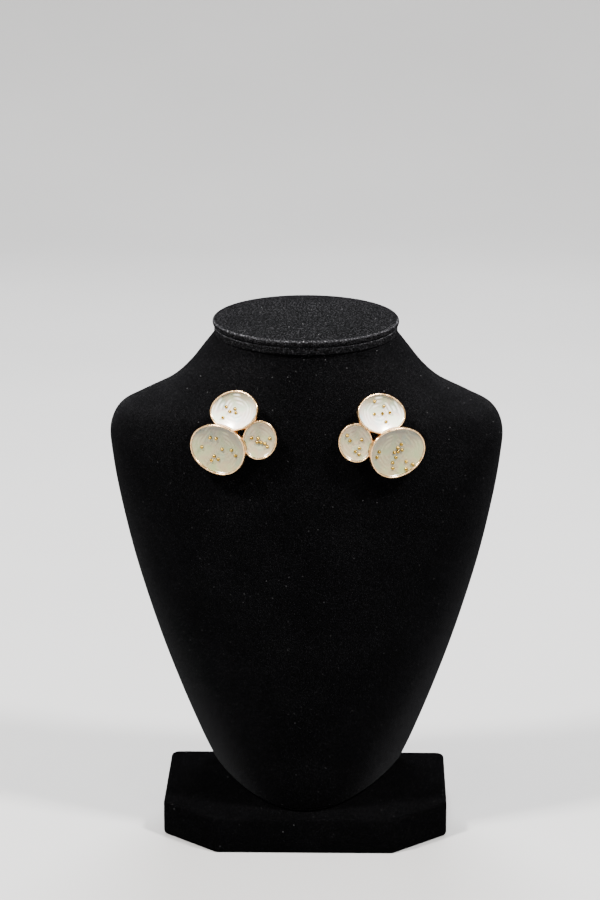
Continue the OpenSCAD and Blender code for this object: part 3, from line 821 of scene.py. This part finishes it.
def cup_sizes(cup):
    """A cup's reaches, and the spheres of its underside and of its enamel's dish, in mm."""
    reaches = [share * LARGE_L for share in CUPS[cup].reaches]
    return {**dict(zip(REACHES, reaches)), "Power": CUPS[cup].power,
            "Bowl radius": sphere_radius(max(reaches), CUP_RISE), "Bowl bottom": -CUP_DEPTH,
            "Dish radius": sphere_radius(max(reaches) - RIM_W, DISH_DEPTH),
            "Dish bottom": -DISH_DEPTH - ENAMEL_SINK}


def cup_place(cup):
    """A matrix in mm from a cup, with 0 at its rim, to the earring's plane."""
    one = CUPS[cup]
    east, north, lift = (share * LARGE_L for share in (*one.middle, one.lift))
    turned, lean, lean_to = (math.radians(angle) for angle in (one.turn, one.lean, one.lean_to))
    hinge = Vector((0, 0, 1)).cross(Vector((math.cos(lean_to), math.sin(lean_to), 0)))
    return (Matrix.Translation((east, north, RIM_H + lift)) @ Matrix.Rotation(lean, 4, hinge)
            @ Matrix.Rotation(turned, 4, "Z"))


def wrap_cup(name, rows, cup, material, place):
    """Wraps rows round a cup's outline, at the cup's place on an earring."""
    return wrap(name, rows, cup_sizes(cup), material, place @ cup_place(cup))


def reaches_towards(cup, x, y):
    """The two of a cup's reaches on the side of a direction."""
    sizes = cup_sizes(cup)
    return sizes[REACHES[0 if x > 0 else 2]], sizes[REACHES[1 if y > 0 else 3]]


for cup in order:
    sizes = cup_sizes(cup)
    print(cup, "cup", round(sizes["Reach east"] + sizes["Reach west"], 1), "mm long")

# %% The cups' profiles
EDGE, BLOCK_TOP = 0.3, 1.5


def cup_profile():
    """Rows of a cup's shell: underside, wall, rounded rim, inner wall and floor."""
    half_rim = RIM_W / 2
    under = [(share, 0.0 if share < 1 else EDGE, 0.0, 1.0, 0.0)
             for share in (0, 0.2, 0.4, 0.6, 0.75, 0.88, 0.95, 1)]
    turned = [(1.0, EDGE * (1 - math.sin(a)), EDGE * (1 - math.cos(a)), 1.0, 0.0)
              for a in (0.5, 1.0, math.pi / 2)]
    wall = [(1.0, 0.0, (EDGE - half_rim) / 2, 0.5, 0.0)]
    rim = [(1.0, half_rim * (1 - math.cos(a)), -half_rim + half_rim * math.sin(a), 0.0, 0.0)
           for a in np.radians(np.linspace(0, 180, 13))]
    inside = [(1.0, RIM_W, -ENAMEL_SINK - 0.6, 0.0, 0.0), (1.0, RIM_W, CUP_FLOOR, 1.0, 0.0)]
    floor = [(share, RIM_W, CUP_FLOOR, 1.0, 0.0) for share in (0.8, 0.5, 0.2, 0)]
    return under + turned + wall + rim + inside + floor


def block_profile(inset, below):
    """Rows of a plain body in a cup's outline, from its underside to a flat top above the rim."""
    under = [(share, inset if share == 1 else 0.0, below, 1.0, 0.0) for share in (0, 0.3, 0.6, 0.85, 1)]
    return under + [plain(share, inset, BLOCK_TOP) for share in (1.0, 0.5, 0.0)]


print("rows in a cup's profile:", len(cup_profile()))

# %% Helpers that cut, join and weld
def trim(obj, cutter, operation="DIFFERENCE"):
    """Cuts one closed mesh with another, or joins them."""
    modifier = obj.modifiers.new("trim", "BOOLEAN")
    modifier.operation, modifier.solver, modifier.object = operation, "MANIFOLD", cutter
    apply_modifiers(obj)


def remove(obj):
    """Deletes a body that has done its cutting or joining."""
    bpy.data.objects.remove(obj, do_unlink=True)


def weld(mesh, reach=0.0001 * MM):
    """Merges near points, drops loose edges and folded faces, and gives how many edges stay open."""
    bm = bmesh.new()
    bm.from_mesh(mesh)
    bmesh.ops.remove_doubles(bm, verts=bm.verts, dist=reach)
    bmesh.ops.dissolve_degenerate(bm, edges=bm.edges, dist=reach)
    bmesh.ops.delete(bm, geom=[edge for edge in bm.edges if edge.is_wire], context="EDGES")
    bmesh.ops.delete(bm, geom=[point for point in bm.verts if not point.link_faces], context="VERTS")
    bmesh.ops.triangulate(bm, faces=bm.faces)
    times = Counter(frozenset(face.verts) for face in bm.faces)
    folded = [face for face in bm.faces if times[frozenset(face.verts)] > 1]
    bmesh.ops.delete(bm, geom=folded, context="FACES")
    open_edges = sum(not edge.is_manifold for edge in bm.edges)
    bm.to_mesh(mesh)
    bm.free()
    return open_edges

# %% [markdown]
# The solder is drawn as drops that sit where two cups meet, on the side of the gap between all three. The
# seat is turned round: a short stem with a small foot at the velvet. All of it is one piece of metal, so
# the drops and the seat are joined to the cups with a Boolean, which also keeps the cups' floors clean.
# Where two curved walls meet, a Boolean leaves faces thinner than a hair, so the metal is welded at the
# end.

# %% Solder and seat
SOLDER_R, SEAT_D, SEAT_CLEAR, WHEEL_R = 1.1, 5.0, 0.4, 10.0


def outline_reach(cup, angle):
    """How far a cup's rim reaches from its middle at an angle of the earring's plane."""
    own = angle - math.radians(CUPS[cup].turn)
    power = CUPS[cup].power
    x, y = math.cos(own), math.sin(own)
    reach_x, reach_y = reaches_towards(cup, x, y)
    return ((abs(x) / reach_x) ** power + (abs(y) / reach_y) ** power) ** (-1 / power)


def cup_middle(cup):
    """A cup's middle in the earring's plane, in mm."""
    return Vector(CUPS[cup].middle) * LARGE_L


def edge_towards(cup, other):
    """The point of a cup's rim that faces another cup's middle."""
    d = cup_middle(other) - cup_middle(cup)
    return cup_middle(cup) + d.normalized() * outline_reach(cup, math.atan2(d.y, d.x))


meetings = [(edge_towards(a, b) + edge_towards(b, a)) / 2
            for a, b in (("large", "upper"), ("upper", "small"), ("small", "large"))]
gap_middle = sum(meetings, Vector((0, 0))) / 3
solder_z = RIM_H - CUP_DEPTH * 0.55 + CUPS["upper"].lift * LARGE_L


def round_piece(name, profile_points, place, around=64):
    """A turned piece from points (radius, height) in mm, from the bottom to the top of its axis."""
    turned_rows = [plain(r / WHEEL_R, 0.0, h) for r, h in profile_points]
    sizes = {**dict.fromkeys(REACHES, WHEEL_R), "Power": 2.0}
    return wrap(name, turned_rows, sizes, rose_gold, place, around)


def solder_drop(at, place):
    """A ball of solder at a point of the earring's plane."""
    arc = np.radians(np.linspace(-90, 90, 17))
    return round_piece("solder", [(SOLDER_R * math.cos(a), SOLDER_R * math.sin(a)) for a in arc],
                       place @ Matrix.Translation((at.x, at.y, solder_z)), 32)


seat_top = RIM_H + CUPS["large"].lift * LARGE_L - CUP_DEPTH + CUP_FLOOR * 0.6
seat_side = [(SEAT_D / 2 - inset, SEAT_CLEAR + up)
             for inset, up in ((0.15, 0), (0, 0.15), (0, 0.9), (0.2, 1.2))]
seat_profile = [(0, SEAT_CLEAR)] + seat_side + [(SEAT_D / 2 - 0.3, seat_top), (0, seat_top)]
print("gap between the cups at", [round(v, 1) for v in gap_middle])

# %% Make the settings
SHARP_ANGLE = math.radians(40)


def make_setting(side, place):
    """One earring's metal as one piece."""
    shells, hollows = {}, {}
    for cup in order:
        shells[cup] = wrap_cup("shell", cup_profile(), cup, rose_gold, place)
        hollows[cup] = wrap_cup("hollow", block_profile(RIM_W, CUP_FLOOR), cup, rose_gold, place)
    metal = shells["large"]
    extras = [solder_drop(m + (gap_middle - m).normalized() * SOLDER_R * 0.6, place) for m in meetings]
    extras.append(round_piece("seat", seat_profile, place))
    for i, cup in enumerate(order[1:], start=1):
        for front in order[:i]:
            trim(shells[cup], hollows[front])
    for extra in extras:
        for cup in order:
            trim(extra, hollows[cup])
    for piece in [shells["upper"], shells["small"]] + extras:
        trim(metal, piece, "UNION")
        remove(piece)
    for hollow in hollows.values():
        remove(hollow)
    print(side, "metal, open edges after the weld:", weld(metal.data))
    metal.name = side + "_cups"
    dress(metal, rose_gold)
    metal.data.shade_smooth()
    metal.data.set_sharp_from_angle(angle=SHARP_ANGLE)
    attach(metal, "root")
    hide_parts(side + "_setting")
    return metal


for side, place in ears.items():
    made = make_setting(side, place)
    print(made.name, len(made.data.polygons), "faces")

# %% [markdown]
# ## The enamel fillings
# A filling is a solid that lies in its cup with a hair's clearance: it follows the cup's round floor below
# and is dished above. At its edge the enamel creeps a little up the wall, as any liquid does before it
# sets. Where a cup in front overlaps it, the filling is trimmed.

# %% Fill the cups
CREEP = ((0.0, 0.12), (0.06, 0.09), (0.16, 0.03))


def enamel_profile():
    """Rows of a filling: its underside, its side and its dished top with a fine creep at the edge."""
    inset = RIM_W + ENAMEL_GAP
    under = [(share, inset, CUP_FLOOR + ENAMEL_GAP, 1.0, 0.0) for share in (0, 0.3, 0.6, 0.85, 1)]
    edge = [(1.0, inset + further, height, 0.0, 1.0) for further, height in CREEP]
    top = [(share, inset, 0.0, 0.0, 1.0) for share in (0.96, 0.9, 0.8, 0.7, 0.6, 0.5, 0.4, 0.3, 0.2, 0.1, 0)]
    return under + edge + top


for side, place in ears.items():
    for i, cup in enumerate(order):
        filling = wrap_cup(side + "_filling_" + cup, enamel_profile(), cup, enamels[cup], place)
        for front in order[:i]:
            block = wrap_cup("front", block_profile(-ENAMEL_GAP, -ENAMEL_GAP), front, enamels[cup], place)
            trim(filling, block)
            remove(block)
        filling.data.shade_smooth()
        filling.data.set_sharp_from_angle(angle=SHARP_ANGLE)
        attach(filling, "root")
        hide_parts(side + "_enamel_" + cup)
        print(filling.name, len(filling.data.polygons), "faces")

# %% [markdown]
# ## The gold balls
# The balls are granules set into the enamel while it was soft, so a little over a quarter of each is sunk.
# They lie in loose groups, never in a pattern, so their places are read as shares of each dish's reaches. A
# tree puts a ball on each point and turns it at random, with a fixed seed, so that no two catch the light
# alike.

# %% The balls' places
BALL_D, BALL_SUNK = 1.1, 0.3
ball_places = {
    "left": {
        "large": [(-0.46, 0.32), (-0.26, 0.37), (-0.65, -0.19), (0.02, -0.01), (0.42, 0.1), (0.65, -0.06),
                  (-0.18, -0.4), (-0.23, -0.6), (-0.02, -0.47)],
        "upper": [(-0.42, 0.24), (-0.26, 0), (-0.04, 0.14), (0.01, -0.07), (-0.52, -0.34)],
        "small": [(-0.5, 0.03), (-0.07, 0.06), (0.64, 0.15), (-0.1, -0.16), (0.14, -0.14), (0.38, -0.17),
                  (0.56, -0.31)]},
    "right": {
        "large": [(-0.31, 0.21), (-0.17, 0.11), (-0.29, -0.04), (-0.15, -0.06), (-0.02, -0.04),
                  (-0.03, -0.26), (0.15, -0.43), (0.21, -0.65), (-0.32, -0.57), (-0.5, -0.76),
                  (-0.25, -0.86), (0.6, 0.23), (0.75, 0.04)],
        "upper": [(0.21, 0.67), (-0.19, 0.43), (-0.43, 0.09), (-0.12, 0.04), (0.25, 0.01), (-0.24, -0.4)],
        "small": [(0.49, 0.45), (0.36, 0.13), (-0.38, 0.1), (-0.16, -0.34), (0.12, -0.49), (-0.08, -0.66)]}}


def ball_centre(cup, share):
    """The middle of a ball on the dished enamel, in the cup's own frame, in mm."""
    sizes = cup_sizes(cup)
    reach_x, reach_y = reaches_towards(cup, *share)
    east, north = share[0] * (reach_x - RIM_W), share[1] * (reach_y - RIM_W)
    r = sizes["Dish radius"] - BALL_D / 2 + BALL_SUNK
    centre = sizes["Dish radius"] + sizes["Dish bottom"]
    return Vector((east, north, centre - math.sqrt(r * r - east * east - north * north)))


print("balls:", sum(len(shares) for dishes in ball_places.values() for shares in dishes.values()))

# %% Scatter the balls
BALL_DETAIL, MOST_SPIN = 4, 6.28


def build_scatter():
    """The Geometry Nodes tree that puts a turned ball on every point."""
    tree, given = new_tree("balls_on_points", {
        "Ball radius": "NodeSocketFloat", "Seed": "NodeSocketInt", "Material": "NodeSocketMaterial"})
    ball = add_node(tree, "GeometryNodeMeshIcoSphere", {
        "Radius": given["Ball radius"], "Subdivisions": BALL_DETAIL})
    spin = add_node(tree, "FunctionNodeRandomValue", {
        0: (0.0,) * 3, 1: (MOST_SPIN,) * 3, "Seed": given["Seed"]}, data_type="FLOAT_VECTOR")
    placed = add_node(tree, "GeometryNodeInstanceOnPoints", {
        "Points": given["Geometry"], "Instance": ball.outputs["Mesh"], "Rotation": spin.outputs[0]})
    finish_tree(tree, placed.outputs[0], given["Material"])
    return tree


scatter = build_scatter()
for side, dishes in ball_places.items():
    for seed, (cup, shares) in enumerate(dishes.items()):
        at = ears[side] @ cup_place(cup)
        centres = [(at @ ball_centre(cup, share)) * MM for share in shares]
        field = add_mesh(side + "_balls_" + cup, centres, [])
        run_tree(field, scatter, {"Ball radius": BALL_D / 2 * MM, "Seed": seed, "Material": yellow_gold})
        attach(field, "root")
        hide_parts(side + "_beads_" + cup)
        print(field.name, len(shares), "balls,", len(field.data.polygons), "faces")

# %% [markdown]
# ## The posts
# The ear posts are hidden between the cups and the velvet. The CAD pins have the right form, so they only
# get the plated metal.

# %% Plate the posts
for side in ears:
    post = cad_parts[side + "_post"]
    dress(post, rose_gold)
    print(post.name, "plated")
